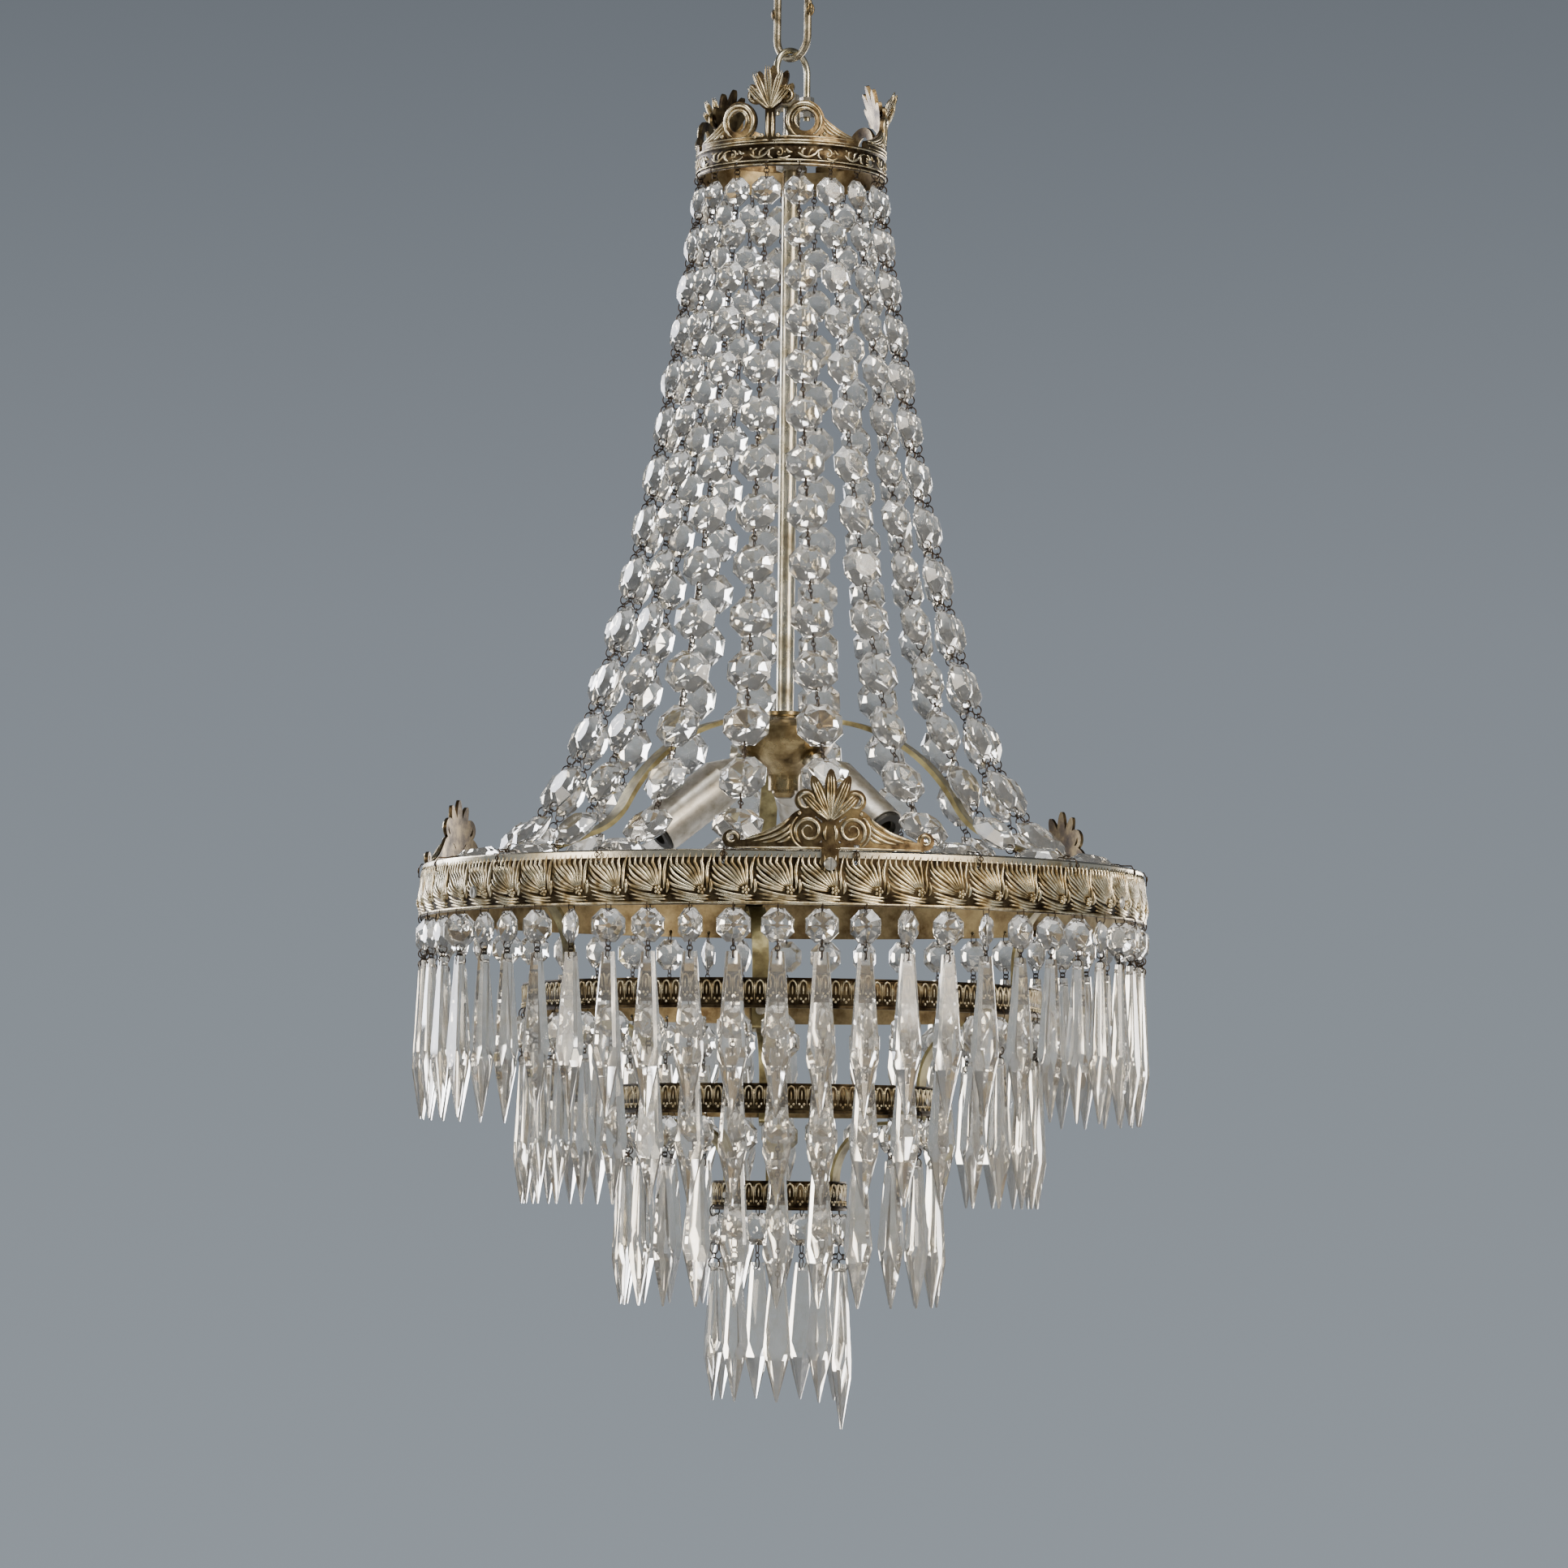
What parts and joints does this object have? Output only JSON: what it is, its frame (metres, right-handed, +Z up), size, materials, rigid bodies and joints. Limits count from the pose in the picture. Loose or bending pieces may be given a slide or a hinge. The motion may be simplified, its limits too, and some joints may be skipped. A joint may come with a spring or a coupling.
{
  "type": "crystal chandelier",
  "caption": "Hanging crystal chandelier: a pierced crown, strands of octagon beads down to an embossed ring with three lampholders inside, and fringed tiers of cut spears below.",
  "frame": {"origin": "seat at the inner top of the upper chain link, where the ceiling hook carries it", "axes": "+Z up, -Y towards the front, the axis of the stem along Z"},
  "size_m": [0.4048, 0.405, 0.8597],
  "materials": {
    "aged_brass_casting": "aged, satin",
    "aged_gilt_stamping": "aged, champagne gilt with brown in the recesses",
    "dull_brass_spinning": "dull, antique",
    "olive_brass_bar": "aged, satin",
    "nickel_steel": "plated, satin",
    "satin_aluminium": "satin",
    "black_thermoplastic": "matt",
    "plated_brass": "plated",
    "pvc_lead": "satin",
    "cut_crystal": "polished",
    "dark_wire": "blackened"
  },
  "bodies": {
    "link_top": {"chain_link_upper": "aged_brass_casting"},
    "link_mid": {"chain_link_lower": "aged_brass_casting"},
    "chandelier": {"arm_1": "olive_brass_bar", "arm_2": "olive_brass_bar", "arm_3": "olive_brass_bar", "arm_screws": "nickel_steel", "bail_yoke": "aged_brass_casting", "crest_1": "aged_gilt_stamping", "crest_2": "aged_gilt_stamping", "crest_3": "aged_gilt_stamping", "crown_band": "aged_gilt_stamping", "crown_gallery_1": "aged_gilt_stamping", "crown_gallery_2": "aged_gilt_stamping", "crown_gallery_3": "aged_gilt_stamping", "crown_rivets": "nickel_steel", "crown_spider": "aged_gilt_stamping", "fringe_loops": "dark_wire", "hanging_bail": "aged_brass_casting", "hub_bowl": "dull_brass_spinning", "hub_cap": "dull_brass_spinning", "hub_nut": "dull_brass_spinning", "internal_leads": "pvc_lead", "lampholder_bodies": "black_thermoplastic", "lampholder_contacts": "plated_brass", "lampholder_nipples": "plated_brass", "lampholder_shells": "plated_brass", "lampholder_sleeve_1": "satin_aluminium", "lampholder_sleeve_2": "satin_aluminium", "lampholder_sleeve_3": "satin_aluminium", "main_band": "aged_gilt_stamping", "main_rim": "aged_gilt_stamping", "ring_screws": "nickel_steel", "stem_tube": "dull_brass_spinning", "strand_beads": "cut_crystal", "strand_loops": "dark_wire", "strap_1": "olive_brass_bar", "strap_2": "olive_brass_bar", "strap_3": "olive_brass_bar", "strap_rivets": "nickel_steel", "terminal_block": "black_thermoplastic", "tier_1_octagons": "cut_crystal", "tier_1_spears": "cut_crystal", "tier_2_band": "aged_gilt_stamping", "tier_2_octagons": "cut_crystal", "tier_2_spears": "cut_crystal", "tier_3_band": "aged_gilt_stamping", "tier_3_octagons": "cut_crystal", "tier_3_spears": "cut_crystal", "tier_4_band": "aged_gilt_stamping", "tier_4_octagons": "cut_crystal", "top_nuts": "nickel_steel"},
    "spear_1": {"bottom_spear_1": "cut_crystal"},
    "spear_2": {"bottom_spear_2": "cut_crystal"},
    "spear_3": {"bottom_spear_3": "cut_crystal"},
    "spear_4": {"bottom_spear_4": "cut_crystal"},
    "spear_5": {"bottom_spear_5": "cut_crystal"},
    "spear_6": {"bottom_spear_6": "cut_crystal"},
    "spear_7": {"bottom_spear_7": "cut_crystal"},
    "spear_8": {"bottom_spear_8": "cut_crystal"},
    "spear_9": {"bottom_spear_9": "cut_crystal"}
  },
  "joints": [
    {"name": "link_swing", "type": "hinge", "parent": "link_top", "child": "link_mid", "pos_m": [0, 0, -0.0497], "axis": [0.7071, 0.7071, 0], "range_deg": [-25, 25]},
    {"name": "chandelier_swing", "type": "hinge", "parent": "link_mid", "child": "chandelier", "pos_m": [0, 0, -0.097], "axis": [0.7071, -0.7071, 0], "range_deg": [-25, 25]},
    {"name": "spear_1_swing", "type": "hinge", "parent": "chandelier", "child": "spear_1", "pos_m": [-0.00044, -0.0358, -0.76596], "axis": [0.9999, -0.0122, 0], "range_deg": [-20, 8]},
    {"name": "spear_2_swing", "type": "hinge", "parent": "chandelier", "child": "spear_2", "pos_m": [0.02268, -0.0277, -0.76596], "axis": [0.7738, 0.6334, 0], "range_deg": [-20, 8]},
    {"name": "spear_3_swing", "type": "hinge", "parent": "chandelier", "child": "spear_3", "pos_m": [0.03518, -0.00665, -0.76596], "axis": [0.1857, 0.9826, 0], "range_deg": [-20, 8]},
    {"name": "spear_4_swing", "type": "hinge", "parent": "chandelier", "child": "spear_4", "pos_m": [0.03122, 0.01752, -0.76596], "axis": [-0.4894, 0.8721, 0], "range_deg": [-20, 8]},
    {"name": "spear_5_swing", "type": "hinge", "parent": "chandelier", "child": "spear_5", "pos_m": [0.01265, 0.03349, -0.76596], "axis": [-0.9354, 0.3535, 0], "range_deg": [-20, 8]},
    {"name": "spear_6_swing", "type": "hinge", "parent": "chandelier", "child": "spear_6", "pos_m": [-0.01183, 0.03379, -0.76596], "axis": [-0.9438, -0.3305, 0], "range_deg": [-20, 8]},
    {"name": "spear_7_swing", "type": "hinge", "parent": "chandelier", "child": "spear_7", "pos_m": [-0.03078, 0.01828, -0.76596], "axis": [-0.5105, -0.8599, 0], "range_deg": [-20, 8]},
    {"name": "spear_8_swing", "type": "hinge", "parent": "chandelier", "child": "spear_8", "pos_m": [-0.03533, -0.00579, -0.76596], "axis": [0.1616, -0.9869, 0], "range_deg": [-20, 8]},
    {"name": "spear_9_swing", "type": "hinge", "parent": "chandelier", "child": "spear_9", "pos_m": [-0.02335, -0.02714, -0.76596], "axis": [0.7581, -0.6521, 0], "range_deg": [-20, 8]}
  ]
}
